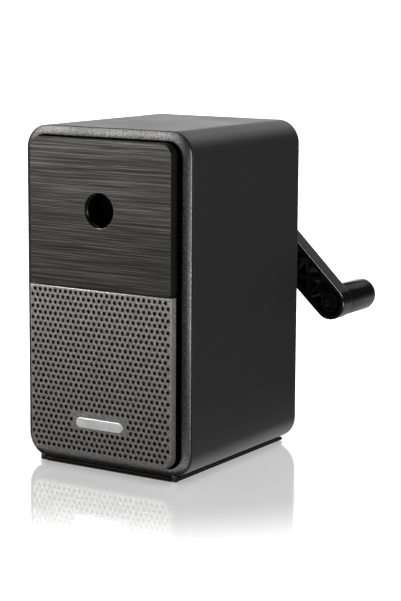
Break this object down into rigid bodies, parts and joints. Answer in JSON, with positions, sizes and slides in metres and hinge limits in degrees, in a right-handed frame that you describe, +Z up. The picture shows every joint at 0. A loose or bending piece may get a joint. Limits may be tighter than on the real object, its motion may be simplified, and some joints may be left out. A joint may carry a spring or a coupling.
{
  "type": "crank pencil sharpener",
  "caption": "Tall desk pencil sharpener with a rounded black casing, pull-out pencil carriage, shavings drawer and rear hand crank.",
  "frame": {"origin": "middle of the underside of the base pad, half way along the casing's depth, on the surface it stands on", "axes": "+Z up, -Y out of the front that the pencil goes into, +Y towards the crank, +X to the right of someone facing the front"},
  "size_m": [0.0786, 0.109, 0.1137],
  "materials": {
    "casing_black": "fine sand-textured matte black moulding",
    "bezel_gunmetal": "gunmetal metallic paint with fine flake, satin",
    "inner_black": "smooth satin black moulding",
    "rubber": "dark brown-black non-slip rubber",
    "gloss_black": "polished black",
    "crank_black": "semi-gloss black moulding",
    "grey_plastic": "grey engineering plastic",
    "brushed_plate": "dark anodised plate, horizontal brushing",
    "drawer_gunmetal": "gunmetal metallic moulding with rows of small dimples",
    "satin_silver": "satin silver",
    "brass": "turned",
    "steel": "machined and zinc plated"
  },
  "bodies": {
    "housing": {"shell": "casing_black", "front_bezel": "bezel_gunmetal", "base_plate": "inner_black", "base_pad": "rubber", "drawer_sleeve": "inner_black", "gear_bulkhead": "inner_black", "ring_gear": "steel", "ring_gear_screw_1": "steel", "ring_gear_screw_2": "steel", "ring_gear_screw_3": "steel", "pencil_guide": "gloss_black", "rear_cover": "casing_black", "rear_cover_screw_1": "steel", "rear_cover_screw_2": "steel", "rear_cover_screw_3": "steel", "rear_cover_screw_4": "steel", "rear_bearing": "inner_black", "bearing_screw_left": "steel", "bearing_screw_right": "steel", "shaft_bush": "brass", "return_spring_left": "steel", "return_spring_right": "steel"},
    "carriage": {"face_plate": "brushed_plate", "carriage_block": "inner_black", "entry_bushing": "gloss_black", "jaw_cover": "grey_plastic", "guide_rod_left": "steel", "guide_rod_right": "steel", "rod_washer_left": "steel", "rod_washer_right": "steel", "jaw_cover_screw_left": "steel", "jaw_cover_screw_right": "steel"},
    "upper_jaw": {"upper_jaw": "inner_black"},
    "lower_jaw": {"lower_jaw": "inner_black"},
    "drawer": {"drawer_front": "drawer_gunmetal", "drawer_bin": "inner_black", "badge": "satin_silver"},
    "crank": {"crank_arm": "crank_black", "crank_shaft": "steel", "thrust_washer": "steel", "crank_screw": "steel", "knob_pin": "crank_black", "cutter_carrier": "grey_plastic", "cutter_axle": "steel"},
    "cutter": {"helical_cutter": "steel", "cutter_pinion": "steel"},
    "knob": {"knob": "gloss_black"}
  },
  "joints": [
    {"name": "carriage_slide", "type": "slide", "parent": "housing", "child": "carriage", "axis": [0, -1, 0], "range_m": [0, 0.028], "stiffness_N_per_m": 150, "springref_m": -0.01, "deforming": ["return_spring_left", "return_spring_right"]},
    {"name": "upper_jaw_slide", "type": "slide", "parent": "carriage", "child": "upper_jaw", "axis": [0, 0, -1], "range_m": [0, 0.0022]},
    {"name": "lower_jaw_slide", "type": "slide", "parent": "carriage", "child": "lower_jaw", "axis": [0, 0, 1], "range_m": [0, 0.0022]},
    {"name": "drawer_slide", "type": "slide", "parent": "housing", "child": "drawer", "axis": [0, -1, 0], "range_m": [0, 0.055]},
    {"name": "crank_turn", "type": "hinge", "parent": "housing", "child": "crank", "pos_m": [0, 0.035, 0.0873], "axis": [0, 1, 0], "continuous": true},
    {"name": "cutter_spin", "type": "hinge", "parent": "crank", "child": "cutter", "pos_m": [0, -0.0057, 0.0978], "axis": [0, 0.9877, -0.1564], "continuous": true},
    {"name": "knob_spin", "type": "hinge", "parent": "crank", "child": "knob", "pos_m": [0.04017, 0.06, 0.04944], "axis": [0, 1, 0], "continuous": true}
  ],
  "couplings": [
    {"joint": "upper_jaw_slide", "follows": "carriage_slide", "ratio": 0.078571},
    {"joint": "lower_jaw_slide", "follows": "carriage_slide", "ratio": 0.078571},
    {"joint": "cutter_spin", "follows": "crank_turn", "ratio": -2.75}
  ]
}
